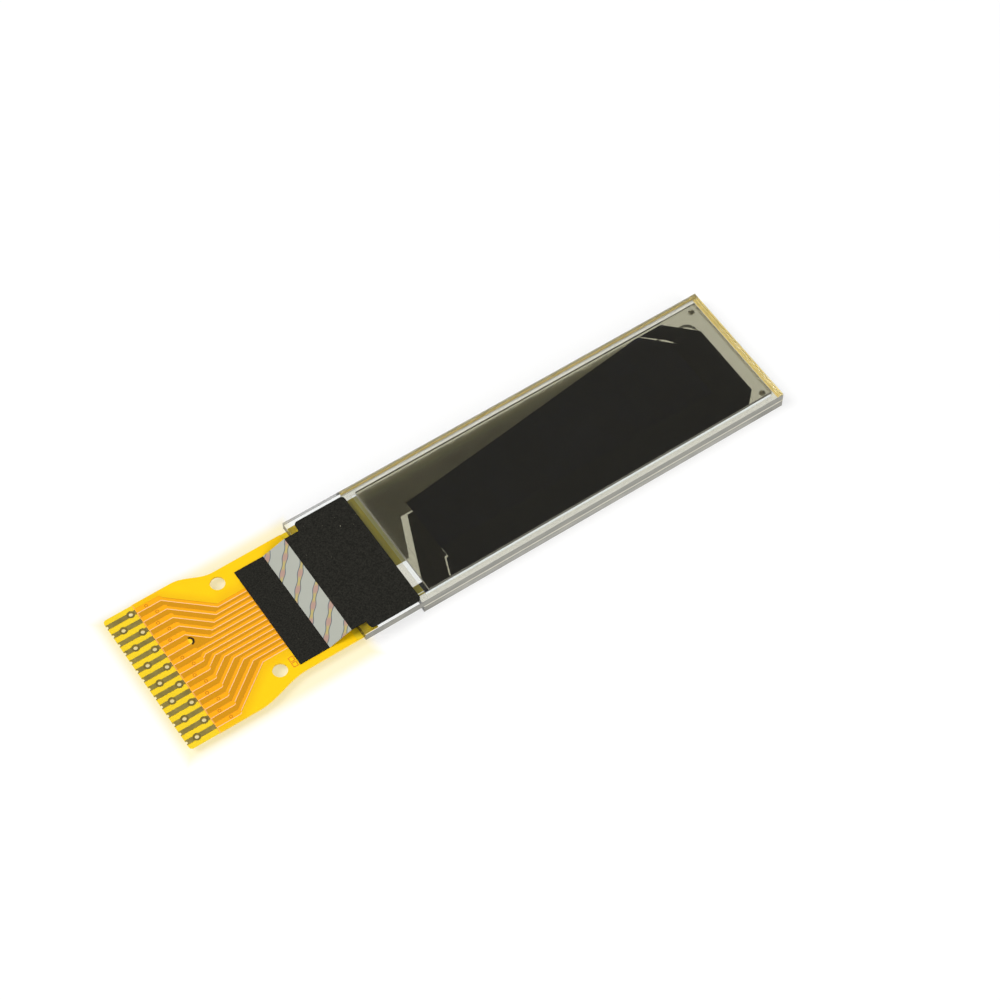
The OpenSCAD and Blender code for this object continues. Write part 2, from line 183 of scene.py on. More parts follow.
class Bench:
    """The node tree of one material or world, with short calls for its nodes."""

    def __init__(self, owner: bpy.types.Material | bpy.types.World) -> None:
        """Empty the node tree of a material or a world."""
        owner.use_nodes = True
        self.owner = owner
        self.tree = owner.node_tree
        self.tree.nodes.clear()
        self._place: tuple[Wire, Wire, Wire] | None = None
        self._spot: bpy.types.NodeSocket | None = None

    @classmethod
    def named(cls, name: str) -> "Bench":
        """Start an empty material with that name."""
        return cls(bpy.data.materials.new(name))

    def node(
        self,
        kind: str,
        settings: dict[str, object] | None = None,
        inputs: dict[str | int, object] | None = None,
    ) -> bpy.types.Node:
        """Add a node.

        Args:
            kind: Blender's name of the node type.
            settings: The node's own properties, or stops for a colour ramp.
            inputs: Sockets by name or number, each with a value, a Wire or a socket.

        Returns:
            The new node.
        """
        made = self.tree.nodes.new(kind)
        for key, value in (settings or {}).items():
            if key == "stops":
                self._set_stops(made.color_ramp, value)
            else:
                setattr(made, key, value)
        for key, value in (inputs or {}).items():
            self.feed(made.inputs[key], value)
        return made

    @staticmethod
    def _set_stops(ramp: bpy.types.ColorRamp, stops: list[tuple[float, Colour]]) -> None:
        """Give a colour ramp its stops."""
        while len(ramp.elements) < len(stops):
            ramp.elements.new(0.5)
        for element, (place, colour) in zip(ramp.elements, stops):
            element.position = place
            element.color = (*colour, 1.0)

    def feed(self, socket: bpy.types.NodeSocket, value: object) -> None:
        """Set a socket to a value, or link it to a Wire or another socket."""
        if isinstance(value, Wire):
            self.tree.links.new(value.socket, socket)
        elif isinstance(value, bpy.types.NodeSocket):
            self.tree.links.new(value, socket)
        elif isinstance(value, tuple) and len(value) == 3 and socket.type == "RGBA":
            socket.default_value = (*value, 1.0)
        else:
            socket.default_value = value

    def place(self) -> tuple[Wire, Wire, Wire]:
        """Where a point lies, in millimetres from the tail end of the front glass."""
        if self._place is None:
            spot = self.node("ShaderNodeTexCoord").outputs["Object"]
            scaled = self.node(
                "ShaderNodeVectorMath",
                {"operation": "MULTIPLY_ADD"},
                {0: spot, 1: (1 / MM, 1 / MM, 1 / MM), 2: (-Plan.glass_end_x, 0.0, 0.0)},
            ).outputs[0]
            parts = self.node("ShaderNodeSeparateXYZ", None, {0: scaled})
            self._place = tuple(Wire(self, parts.outputs[i]) for i in range(3))
            self._spot = scaled
        return self._place

    def spot(self) -> bpy.types.NodeSocket:
        """The same point as one vector."""
        self.place()
        return self._spot

    def facing(self) -> tuple[Wire, Wire, Wire]:
        """The surface's own normal, in the panel's axes."""
        normal = self.node("ShaderNodeTexCoord").outputs["Normal"]
        parts = self.node("ShaderNodeSeparateXYZ", None, {0: normal})
        return tuple(Wire(self, parts.outputs[i]) for i in range(3))

    def noise(
        self,
        scale: float,
        detail: float = 3.0,
        stretch: tuple[float, float, float] = (1.0, 1.0, 1.0),
        roughness: float = 0.5,
    ) -> Wire:
        """Cloudy noise around 0.5.

        Args:
            scale: Features for each millimetre.
            detail: Levels of finer noise.
            stretch: Scale along each axis.
            roughness: Strength of the finer levels.

        Returns:
            The noise, from about 0.2 to 0.8.
        """
        at = self.node(
            "ShaderNodeVectorMath", {"operation": "MULTIPLY"}, {0: self.spot(), 1: stretch}
        ).outputs[0]
        node = self.node(
            "ShaderNodeTexNoise",
            None,
            {"Vector": at, "Scale": scale, "Detail": detail, "Roughness": roughness},
        )
        return Wire(self, node.outputs[0])

    def specks(self, scale: float, share: float, radius: float) -> Wire:
        """Small separate round specks.

        Args:
            scale: Cells for each millimetre.
            share: Part of the cells that hold a speck.
            radius: Radius of a speck, in cells.

        Returns:
            1 in a speck, else 0.
        """
        node = self.node(
            "ShaderNodeTexVoronoi", None, {"Vector": self.spot(), "Scale": scale}
        )
        near = Wire(self, node.outputs["Distance"]).step(radius, radius * 0.5)
        pick = self.node("ShaderNodeSeparateColor", None, {0: node.outputs["Color"]})
        return near * (Wire(self, pick.outputs[0]) < share)

    def pad_spots(self, start: float, offsets: tuple[float, float]) -> Wire:
        """Distance in millimetres from a spot on the nearest pad of the tail.

        Args:
            start: Where the offsets are measured from, along x.
            offsets: The spot's offset on every second pad, and on the others.

        Returns:
            The distance.
        """
        x, y, _ = self.place()
        second = (y / (2 * Plan.pad_pitch)).repeat() < 0.5
        offset = second * (offsets[0] - offsets[1]) + offsets[1]
        along = x - start - offset
        across = ((y / Plan.pad_pitch).repeat() - 0.5) * Plan.pad_pitch
        return (along * along + across * across).root()

    def mix(self, mask: "Wire | float", low: object, high: object) -> bpy.types.NodeSocket:
        """Blend two colours.

        Args:
            mask: 0 for the first colour, 1 for the second.
            low: The first colour or its socket.
            high: The second colour or its socket.

        Returns:
            The blended colour's socket.
        """
        node = self.node(
            "ShaderNodeMix", {"data_type": "RGBA"}, {0: mask, 6: low, 7: high}
        )
        return node.outputs[2]

    def bump(self, height: Wire, depth: float) -> bpy.types.NodeSocket:
        """Raise the surface by a height from 0 to 1.

        Args:
            height: The relief.
            depth: Millimetres from 0 to 1.

        Returns:
            The bumped normal's socket.
        """
        node = self.node(
            "ShaderNodeBump", None, {"Height": height, "Distance": depth * MM}
        )
        return node.outputs[0]

    def surface(self, **inputs: object) -> bpy.types.NodeSocket:
        """Add a Principled shader. Underscores in the names stand for spaces."""
        node = self.node(
            "ShaderNodeBsdfPrincipled",
            None,
            {key.replace("_", " "): value for key, value in inputs.items()},
        )
        return node.outputs[0]

    def layered(
        self, mask: "Wire | float", low: bpy.types.NodeSocket, high: bpy.types.NodeSocket
    ) -> bpy.types.NodeSocket:
        """Mix two shaders: 0 shows the first, 1 the second."""
        return self.node("ShaderNodeMixShader", None, {0: mask, 1: low, 2: high}).outputs[0]

    def finish(self, shader: bpy.types.NodeSocket) -> bpy.types.Material | bpy.types.World:
        """Send a shader to the output and return the material or world."""
        world = isinstance(self.owner, bpy.types.World)
        kind = "ShaderNodeOutputWorld" if world else "ShaderNodeOutputMaterial"
        self.node(kind, None, {"Surface": shader})
        return self.owner


# ---------------------------------------------------------------- the panel's plan


class Plan:
    """Places on the panel in millimetres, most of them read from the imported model."""

    seal_width = 0.43
    pad_pitch = 0.605
    spare_pad_y = 0.9075
    glass_end_x = 0.0
    glass_len = 0.0
    glass_half = 0.0
    ledge_len = 0.0
    polarizer_low_x = 0.0
    coverlay_x = 0.0
    coverlay_top = 0.0
    tape_low_x = 0.0
    tail_x = 0.0
    tail_half = 0.0
    ramp_low_x = 0.0
    ramp_high_x = 0.0

    @classmethod
    def read(cls) -> None:
        """Take the places from the model's boxes."""
        low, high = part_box("substrate_glass")
        cls.glass_end_x = low.x / MM
        cls.glass_len = (high.x - low.x) / MM
        cls.glass_half = high.y / MM
        cls.ledge_len = cls.x_of(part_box("cap_glass")[0])
        cls.polarizer_low_x = cls.x_of(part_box("front_polarizer")[0])
        cls.coverlay_x = cls.x_of(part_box("front_coverlay")[0])
        cls.coverlay_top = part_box("front_coverlay")[1].z / MM
        cls.tape_low_x = cls.x_of(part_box("light_shield_tape")[0])
        cls.tail_x = cls.x_of(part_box("flex_base_film")[0])
        cls.tail_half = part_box("flex_base_film")[1].y / MM

    @classmethod
    def seal_end(cls) -> float:
        """Where the seal beside the ledge ends."""
        return cls.ledge_len + cls.seal_width

    @classmethod
    def x_of(cls, corner: Vector) -> float:
        """Distance of a corner from the tail end of the front glass."""
        return corner.x / MM - cls.glass_end_x

    @classmethod
    def point(cls, x: float, y: float, z: float) -> Vector:
        """A point of the plan in the model's own metres."""
        return Vector(((x + cls.glass_end_x) * MM, y * MM, z * MM))


# ---------------------------------------------------------------- finishes


@dataclass(frozen=True)
class PanelGlass:
    """Clear float glass, polished on its faces and ground smooth along its edges."""

    tint: Colour = (0.975, 0.985, 0.972)
    edge_tint: Colour = display(166, 164, 152)
    edge_shade: Colour = display(150, 149, 140)
    ior: float = 1.52
    edge_roughness: float = 0.12
    edge_veil: float = 0.62
    far_veil: float = 0.06

    def material(self) -> bpy.types.Material:
        """Make the material."""
        bench = Bench.named("panel_glass")
        _, ny, nz = bench.facing()
        near = ny.step(-0.2, -0.5)
        edge = abs(nz).step(0.75, 0.35)
        cloud = bench.noise(0.7, 2.0, (1.0, 1.0, 6.0))
        clear = bench.surface(
            Base_Color=self.tint,
            Roughness=edge * self.edge_roughness,
            IOR=self.ior,
            Transmission_Weight=1.0,
        )
        veil = bench.surface(
            Base_Color=bench.mix(cloud.step(0.3, 0.7), self.edge_tint, self.edge_shade),
            Roughness=0.3,
        )
        # Painted shade: the edges that face the near side get a strong grey veil, the other
        # edges almost none.
        share = edge * (near * (self.edge_veil - self.far_veil) + self.far_veil)
        return bench.finish(bench.layered(share, clear, veil))


@dataclass(frozen=True)
class PolarizerFilm:
    """Neutral grey polarizer with a hard front face and punched cut edges; the edge that faces
    the tail carries painted highlights.
    """

    tint: Colour = (0.50, 0.475, 0.36)
    edge_tint: Colour = display(120, 119, 104)
    glint_tint: Colour = display(226, 222, 198)
    glint_pitch: float = 0.11
    roughness: float = 0.04
    edge_veil: float = 0.6

    def material(self) -> bpy.types.Material:
        """Make the material."""
        bench = Bench.named("polarizer_film")
        _, y, _ = bench.place()
        nx, _, nz = bench.facing()
        edge = abs(nz).step(0.8, 0.4)
        grain = bench.noise(28.0, 2.0)
        film = bench.surface(
            Base_Color=self.tint,
            Roughness=self.roughness,
            IOR=1.5,
            Transmission_Weight=1.0,
            Normal=bench.bump(grain, 0.0012),
        )
        # Painted highlight: a row of pale dots on the cut edge that faces the tail only.
        lit_tail_side = nx.step(-0.5, -0.8)
        glints = (y / self.glint_pitch).repeat().between(0.3, 0.7, 0.1) * lit_tail_side
        cut = bench.surface(
            Base_Color=bench.mix(glints, self.edge_tint, self.glint_tint), Roughness=0.45
        )
        return bench.finish(bench.layered(edge * self.edge_veil, film, cut))


@dataclass(frozen=True)
class SegmentLeadFilm:
    """Fine metal leads: olive over the seal, grey-brown behind the polarizer, and painted
    lighter towards the far edge.
    """

    over_seal: Colour = display(176, 160, 52)
    behind_seal: Colour = display(188, 182, 122)
    fan: Colour = display(214, 212, 214)
    rim: Colour = display(255, 252, 238)
    dark_border: Colour = display(96, 84, 64)
    gap: Colour = display(84, 76, 50)
    cloud_tone: Colour = display(140, 128, 90)
    line_pitch: float = 0.04
    edge_light_start: float = 2.3
    edge_light_end: float = 3.4
    border_x: float = 6.0
    border_y: tuple[float, float] = (1.5, 1.68)

    def material(self) -> bpy.types.Material:
        """Make the material."""
        bench = Bench.named("segment_lead_metal")
        x, y, _ = bench.place()
        # Painted light: the fan's leads turn to the pale rim colour towards the far edge of the
        # glass.
        rim = y.step(self.edge_light_start, self.edge_light_end)
        fan = bench.mix(rim * rim, self.fan, self.rim)
        border = y.between(*self.border_y, 0.06) * (x > self.border_x)
        fan = bench.mix(border * 0.6, fan, self.dark_border)
        inside = bench.mix(
            x.step(Plan.polarizer_low_x, Plan.polarizer_low_x + 0.2), self.behind_seal, fan
        )
        colour = bench.mix(x > Plan.seal_end(), self.over_seal, inside)
        lines = ((y + x * 0.015) / self.line_pitch).repeat().between(0.2, 0.75, 0.12)
        shade = bench.mix(lines * 0.22, colour, self.gap)
        cloud = bench.noise(1.3, 3.0, (0.5, 1.0, 1.0))
        shade = bench.mix(cloud.step(0.45, 0.75) * 0.12, shade, self.cloud_tone)
        return bench.finish(
            bench.surface(Base_Color=shade, Metallic=0.2, Roughness=0.4, IOR=1.45)
        )


@dataclass(frozen=True)
class CommonLeadFilm:
    """Dark metal leads that run in nested rows round the picture area."""

    name: str
    metal: Colour
    gap: Colour
    over_seal: Colour = display(170, 156, 56)
    line_pitch: float = 0.19
    end_border: float = 1.12
    side_border: float = 0.55
    corner_cut: float = 1.1

    def material(self) -> bpy.types.Material:
        """Make the material."""
        bench = Bench.named(self.name)
        x, y, _ = bench.place()
        end_x = Plan.glass_len - self.end_border
        side_y = Plan.glass_half - self.side_border
        out = (x - end_x).larger(abs(y) - side_y)
        corner = (x + abs(y) - (end_x + side_y - self.corner_cut)) * math.sqrt(0.5)
        loops = (out.larger(corner) / self.line_pitch).repeat().between(0.12, 0.88, 0.05)
        cloud = bench.noise(2.0, 2.0)
        colour = bench.mix(loops * (0.75 + cloud * 0.3), self.gap, self.metal)
        colour = bench.mix(x > Plan.seal_end(), self.over_seal, colour)
        return bench.finish(
            bench.surface(Base_Color=colour, Metallic=0.2, Roughness=0.42, IOR=1.45)
        )


@dataclass(frozen=True)
class InputLeadFilm:
    """Olive metal of the lines between the tail and the chip."""

    metal: Colour = display(138, 128, 70)
    dull: Colour = display(110, 102, 60)

    def material(self) -> bpy.types.Material:
        """Make the material."""
        bench = Bench.named("input_lead_metal")
        cloud = bench.noise(6.0, 3.0)
        colour = bench.mix(cloud, self.metal, self.dull)
        return bench.finish(bench.surface(Base_Color=colour, Metallic=0.8, Roughness=0.3))


class Sheen(Enum):
    """Roughness of a plain finish."""

    MATT = 0.7
    SATIN = 0.42
    BRIGHT = 0.26


@dataclass(frozen=True)
class DarkFilm:
    """A dark film of the picture area, with a faint tone over its length."""

    name: str
    tone: Colour
    far_tone: Colour
    sheen: Sheen = Sheen.SATIN

    def material(self) -> bpy.types.Material:
        """Make the material."""
        bench = Bench.named(self.name)
        cloud = bench.noise(0.8, 3.0)
        colour = bench.mix(cloud.step(0.35, 0.65), self.tone, self.far_tone)
        return bench.finish(
            bench.surface(Base_Color=colour, Roughness=self.sheen.value, IOR=1.4)
        )


@dataclass(frozen=True)
class CathodeMetal:
    """Evaporated aluminium, bright with a faint haze."""

    metal: Colour = (0.82, 0.83, 0.84)
    hazy: Colour = (0.68, 0.69, 0.71)

    def material(self) -> bpy.types.Material:
        """Make the material."""
        bench = Bench.named("cathode_metal")
        haze = bench.noise(3.0, 4.0, (0.3, 2.0, 1.0))
        return bench.finish(
            bench.surface(
                Base_Color=bench.mix(haze, self.metal, self.hazy),
                Metallic=1.0,
                Roughness=0.16 + haze * 0.2,
            )
        )


@dataclass(frozen=True)
class SealResin:
    """Cured resin of the frame between the glasses: nearly clear, with a painted warm glow along
    the far side and the plain end.
    """

    tint: Colour = (0.99, 0.96, 0.86)
    bead: Colour = (1.0, 0.98, 0.92)
    lit_side_glow: Colour = display(250, 222, 130)
    side: Colour = display(226, 222, 202)
    lit_side_width: float = 0.14

    def material(self) -> bpy.types.Material:
        """Make the material."""
        bench = Bench.named("seal_resin")
        x, y, _ = bench.place()
        _, _, nz = bench.facing()
        # Painted light: a warm yellow strip along the far side and the plain end only.
        far = y.step(Plan.glass_half - self.lit_side_width, Plan.glass_half - self.lit_side_width / 2)
        end_x = Plan.glass_len - 2 * self.lit_side_width
        lit_side_mask = far.larger(x.step(end_x, end_x + self.lit_side_width / 2))
        beads = bench.specks(14.0, 0.5, 0.22)
        colour = bench.mix(beads * 0.3, self.tint, self.bead)
        colour = bench.mix(lit_side_mask, colour, self.lit_side_glow)
        clear = bench.surface(
            Base_Color=colour, Roughness=0.2, IOR=1.5, Transmission_Weight=0.9
        )
        edge = bench.surface(Base_Color=bench.mix(beads, self.side, self.tint), Roughness=0.4)
        return bench.finish(bench.layered(abs(nz).step(0.7, 0.4), clear, edge))


@dataclass(frozen=True)
class DesiccantSheet:
    """Matt off-white drying sheet with a fine felted face."""

    base: Colour = display(206, 205, 198)
    felted: Colour = display(180, 178, 168)

    def material(self) -> bpy.types.Material:
        """Make the material."""
        bench = Bench.named("desiccant")
        felt = bench.noise(16.0, 5.0)
        colour = bench.mix(felt.step(0.3, 0.8), self.base, self.felted)
        return bench.finish(
            bench.surface(
                Base_Color=colour, Roughness=0.9, Normal=bench.bump(felt, 0.02)
            )
        )


@dataclass(frozen=True)
class ChipSilicon:
    """Bare silicon with a ground back and sawn sides."""

    base: Colour = display(104, 106, 112)
    ground: Colour = display(78, 80, 88)

    def material(self) -> bpy.types.Material:
        """Make the material."""
        bench = Bench.named("chip_silicon")
        grind = bench.noise(10.0, 3.0, (0.4, 6.0, 1.0))
        colour = bench.mix(grind, self.base, self.ground)
        return bench.finish(
            bench.surface(
                Base_Color=colour,
                Metallic=0.75,
                Roughness=0.22 + grind * 0.18,
                Normal=bench.bump(grind, 0.002),
            )
        )


@dataclass(frozen=True)
class BondFilm:
    """Cured bond film, amber-grey with conductive particles."""

    base: Colour = display(190, 182, 150)
    particle: Colour = display(120, 112, 84)

    def material(self) -> bpy.types.Material:
        """Make the material."""
        bench = Bench.named("bond_film")
        grains = bench.specks(60.0, 0.5, 0.3)
        colour = bench.mix(grains, self.base, self.particle)
        return bench.finish(bench.surface(Base_Color=colour, Roughness=0.4))


@dataclass(frozen=True)
class ClearCoat:
    """Clear silicone coat over the bare leads."""

    tint: Colour = (0.93, 0.95, 0.94)

    def material(self) -> bpy.types.Material:
        """Make the material."""
        bench = Bench.named("clear_coat")
        ripple = bench.noise(1.6, 2.0)
        return bench.finish(
            bench.surface(
                Base_Color=self.tint,
                Roughness=0.08,
                IOR=1.41,
                Transmission_Weight=1.0,
                Normal=bench.bump(ripple, 0.03),
            )
        )


@dataclass(frozen=True)
class PolyimideFilm:
    """Yellow polyimide film, lightly mottled, translucent and satin."""

    name: str
    thin: Colour
    thick: Colour
    glow: float = 0.1

    def shade(self, bench: Bench) -> bpy.types.NodeSocket:
        """The film's colour before any copper under it is counted."""
        cloud = bench.noise(0.9, 4.0)
        return bench.mix(cloud.step(0.35, 0.85) * 0.3, self.thin, self.thick)

    def material(self) -> bpy.types.Material:
        """Make the material."""
        bench = Bench.named(self.name)
        return self.coat(bench, self.shade(bench))

    def coat(self, bench: Bench, colour: bpy.types.NodeSocket) -> bpy.types.Material:
        """Finish the film in a colour."""
        cloud = bench.noise(0.9, 4.0)
        fine = bench.noise(22.0, 2.0)
        return bench.finish(
            bench.surface(
                Base_Color=colour,
                Roughness=0.34 + fine * 0.12,
                IOR=1.35,
                Transmission_Weight=self.glow,
                Normal=bench.bump(cloud * 0.7 + fine * 0.3, 0.004),
            )
        )


@dataclass(frozen=True)
class CoverlayFilm(PolyimideFilm):
    """Amber coverlay, with painted shade darkening the valleys between the lines that it covers.
    """

    valley_shade: Colour = display(206, 138, 6)
    edge_bead: Colour = display(250, 178, 104)
    valley_half: float = 4.09
    line_half: tuple[float, float] = (2.02, 2.18)
    taper: tuple[float, float] = (0.885, 0.754)
    covered_len: float = 1.35
    spare_end_x: float = 1.38
    shadow_crescent: tuple[float, float] = (0.15, 0.26)
    crescent_shadow_tone: Colour = display(40, 30, 10)

    def material(self) -> bpy.types.Material:
        """Make the material."""
        bench = Bench.named(self.name)
        x, y, _ = bench.place()
        past_fan = (x - (Plan.coverlay_x + self.covered_len)).larger(0.0)
        high = (self.valley_half - past_fan * self.taper[0]).larger(self.line_half[0])
        low = (self.valley_half - past_fan * self.taper[1]).larger(self.line_half[1])
        # Painted shade: darker in the valleys between the covered lines, and faintly beside the
        # outermost ones.
        inside = (high - y).step(-0.02, 0.03) * (y + low).step(-0.02, 0.03)
        beside = (high - y).step(-0.8, 0.0) * (y + low).step(-0.8, 0.0)
        colour = bench.mix(beside * 0.28, self.shade(bench), self.valley_shade)
        colour = bench.mix(inside * 0.9, colour, self.valley_shade)
        bead = x.between(Plan.coverlay_x - 0.02, Plan.coverlay_x + 0.05, 0.015)
        colour = bench.mix(bead * 0.7, colour, self.edge_bead)
        # Painted shadow: a dark crescent beside the end of the spare line.
        along = x - (Plan.coverlay_x + self.spare_end_x)
        across = y - Plan.spare_pad_y
        reach = (along * along + across * across).root()
        shadow_crescent = reach.between(*self.shadow_crescent, 0.012) * along.step(-0.02, 0.06)
        colour = bench.mix(shadow_crescent, colour, self.crescent_shadow_tone)
        return self.coat(bench, colour)


@dataclass(frozen=True)
class RaisedCoverlay(PolyimideFilm):
    """Coverlay that stands proud over a copper line, with its posts showing through and painted
    light.
    """

    near_edge_highlight: Colour = display(255, 204, 158)
    far_edge_shade: Colour = display(226, 140, 4)
    post: Colour = display(186, 112, 10)
    spot: Colour = display(255, 226, 40)
    post_x: tuple[float, float] = (0.6, 0.9)
    post_ring: tuple[float, float] = (0.055, 0.1)
    spare_half: float = 0.2
    highlight_x: tuple[float, float] = (1.34, 1.6)

    def material(self) -> bpy.types.Material:
        """Make the material."""
        bench = Bench.named(self.name)
        x, y, _ = bench.place()
        _, ny, _ = bench.facing()
        # Painted highlight on the shoulders that face the near side, painted shade on those that
        # face the far side.
        colour = bench.mix(ny.step(-0.08, -0.22) * 0.8, self.shade(bench), self.near_edge_highlight)
        colour = bench.mix(ny.step(0.08, 0.22) * 0.6, colour, self.far_edge_shade)
        reach = bench.pad_spots(Plan.coverlay_x, self.post_x)
        spare = abs(y - Plan.spare_pad_y) < self.spare_half
        ring = reach.between(*self.post_ring, 0.01) * (1.0 - spare)
        colour = bench.mix(ring * 0.75, colour, self.post)
        # Painted highlight: a yellow spot, in the spot colour, near the end of the spare line.
        first, last = (Plan.coverlay_x + end for end in self.highlight_x)
        colour = bench.mix(x.between(first, last, 0.05) * spare * 0.7, colour, self.spot)
        return self.coat(bench, colour)


@dataclass(frozen=True)
class ContactMetal:
    """Gold-plated copper: dull along the pads, darker in a ring round each solder hole."""

    metal: Colour = (0.60, 0.47, 0.13)
    worn: Colour = (0.44, 0.36, 0.12)
    ring_tone: Colour = (0.17, 0.13, 0.05)
    hole_x: tuple[float, float] = (1.4, 0.63)
    ring: tuple[float, float] = (0.12, 0.215)

    def material(self) -> bpy.types.Material:
        """Make the material."""
        bench = Bench.named("contact_metal")
        brush = bench.noise(9.0, 4.0, (0.6, 5.0, 1.0))
        cloud = bench.noise(2.5, 2.0)
        colour = bench.mix(brush.step(0.3, 0.8) * 0.7, self.metal, self.worn)
        ring = bench.pad_spots(Plan.tail_x, self.hole_x).between(*self.ring, 0.015)
        colour = bench.mix(ring * 0.45, colour, self.ring_tone)
        return bench.finish(
            bench.surface(
                Base_Color=colour,
                Metallic=1.0,
                Roughness=0.3 + cloud * 0.2,
                Normal=bench.bump(brush, 0.003),
            )
        )


@dataclass(frozen=True)
class TapeFilm:
    """Matt black tape, with a painted silvery reflection crossed by figured bands where it
    slopes.
    """

    black: Colour = display(17, 17, 13)
    worn: Colour = display(42, 41, 36)
    speck: Colour = display(176, 172, 150)
    reflection_silver: Colour = display(163, 165, 155)
    line: Colour = display(78, 92, 102)
    reflection_pinch: Colour = display(178, 158, 78)
    reflection_bulge: Colour = display(168, 126, 112)
    slope: float = 1.14
    period: float = 1.42
    phase: float = 0.18
    swell: float = 0.86
    half_width: float = 0.115
    bulge_width: float = 0.032

    def material(self) -> bpy.types.Material:
        """Make the material."""
        bench = Bench.named("tape_film")
        x, y, _ = bench.place()
        # Painted reflection: where the tape slopes, its colour is a silvery sheen with crossing
        # coloured bands and lines.
        steep = math.hypot(1.0, self.slope)
        run = (x + y * self.slope) / steep
        turns = (y - x * self.slope) / self.period
        aside = abs((turns + self.phase).repeat() - 0.5) * (self.period / steep)
        wave = (run * (2 * math.pi / self.swell)).sine()
        half = self.half_width + wave * self.bulge_width
        inside = (half - aside).step(-0.01, 0.03)
        line = abs(aside - half).step(0.03, 0.012)
        reflection_band = bench.mix(wave.step(-0.8, 0.8), self.reflection_pinch, self.reflection_bulge)
        reflection_colour = bench.mix(inside * 0.75, self.reflection_silver, reflection_band)
        reflection_colour = bench.mix(line * 0.9, reflection_colour, self.line)
        reflection_mask = (x > Plan.ramp_low_x) * (x < Plan.ramp_high_x)
        grain = bench.noise(13.0, 5.0, roughness=0.75)
        streaks = bench.noise(1.6, 3.0, (0.2, 5.0, 1.0))
        dust = bench.specks(1.7, 0.16, 0.05).larger(bench.specks(5.0, 0.1, 0.1) * 0.4)
        dark = bench.mix(grain.step(0.35, 0.65), self.black, self.worn)
        dark = bench.mix(dust, dark, self.speck)
        colour = bench.mix(reflection_mask, dark, reflection_colour)
        return bench.finish(
            bench.surface(
                Base_Color=colour,
                Roughness=0.7,
                IOR=1.2,
                Normal=bench.bump(grain * 0.6 + streaks * 0.4, 0.01),
            )
        )


@dataclass(frozen=True)
class PlainFinish:
    """One-coat finish of a small added detail, with a faint cloud in its tone."""

    name: str
    tone: Colour
    other: Colour
    sheen: Sheen = Sheen.SATIN

    def material(self) -> bpy.types.Material:
        """Make the material."""
        bench = Bench.named(self.name)
        cloud = bench.noise(4.0, 3.0)
        return bench.finish(
            bench.surface(
                Base_Color=bench.mix(cloud, self.tone, self.other),
                Roughness=self.sheen.value,
            )
        )


# ---------------------------------------------------------------- dressing the panel


def dress(node: str, material: bpy.types.Material) -> bpy.types.Object:
    """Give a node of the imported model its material.

    Args:
        node: The node's name.
        material: Its finish.

    Returns:
        The node's object.
    """
    piece = bpy.data.objects[node]
    piece.data.materials.clear()
    piece.data.materials.append(material)
    LOG.info("dressed %s in %s", node, material.name)
    return piece


def select_only(piece: bpy.types.Object) -> None:
    """Deselect everything, then select one object and make it active."""
    bpy.ops.object.select_all(action="DESELECT")
    piece.select_set(True)
    bpy.context.view_layer.objects.active = piece


def add(
    piece: bpy.types.Object, name: str, material: bpy.types.Material
) -> bpy.types.Object:
    """Name a new piece, seat it on the panel and give it its material.

    Args:
        piece: The new object, with its place in its mesh.
        name: Its name.
        material: Its finish.

    Returns:
        The piece.
    """
    piece.name = name
    piece.data.name = name
    piece.data.materials.clear()
    piece.data.materials.append(material)
    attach(piece, "root")
    LOG.info("added %s", name)
    return piece


def join(pieces: list[bpy.types.Object]) -> bpy.types.Object:
    """Join several objects into the first."""
    select_only(pieces[0])
    for piece in pieces:
        piece.select_set(True)
    bpy.ops.object.join()
    return bpy.context.object


def slab(low: Vector, high: Vector) -> bpy.types.Object:
    """Start a flat film as one face at its low side, with its place in its mesh.

    Args:
        low: Its lowest corner, in metres.
        high: Its highest corner.

    Returns:
        The face's object, in edit mode with everything selected.
    """
    middle = (low + high) / 2
    bpy.ops.object.select_all(action="DESELECT")
    bpy.ops.mesh.primitive_plane_add(size=1.0, location=(0.0, 0.0, 0.0))
    piece = bpy.context.object
    bpy.ops.object.mode_set(mode="EDIT")
    bpy.ops.mesh.select_all(action="SELECT")
    bpy.ops.transform.resize(
        value=(high.x - low.x, high.y - low.y, 1.0), center_override=(0.0, 0.0, 0.0)
    )
    bpy.ops.transform.translate(value=(middle.x, middle.y, low.z))
    return piece


def trim(point: Vector, normal: tuple[float, float, float], fill: bool = False) -> None:
    """Cut the mesh in edit mode with a plane and drop the side the normal points to."""
    bpy.ops.mesh.select_all(action="SELECT")
    bpy.ops.mesh.bisect(
        plane_co=point, plane_no=normal, clear_outer=True, use_fill=fill, threshold=TOUCHING
    )


def unpick(piece: bpy.types.Object) -> bpy.types.MeshPolygons:
    """Go from edit mode to object mode with no face of the piece picked.

    Args:
        piece: The object in edit mode.

    Returns:
        Its faces, to be picked before edit mode is entered again.
    """
    bpy.ops.mesh.select_mode(type="FACE")
    bpy.ops.mesh.select_all(action="DESELECT")
    bpy.ops.object.mode_set(mode="OBJECT")
    return piece.data.polygons


def thicken(height: float) -> None:
    """Pull the faces in edit mode up into a closed film and leave edit mode."""
    bpy.ops.mesh.select_all(action="SELECT")
    bpy.ops.mesh.extrude_region_move(TRANSFORM_OT_translate={"value": (0.0, 0.0, height)})
    bpy.ops.mesh.select_all(action="SELECT")
    bpy.ops.mesh.normals_make_consistent(inside=False)
    bpy.ops.object.mode_set(mode="OBJECT")


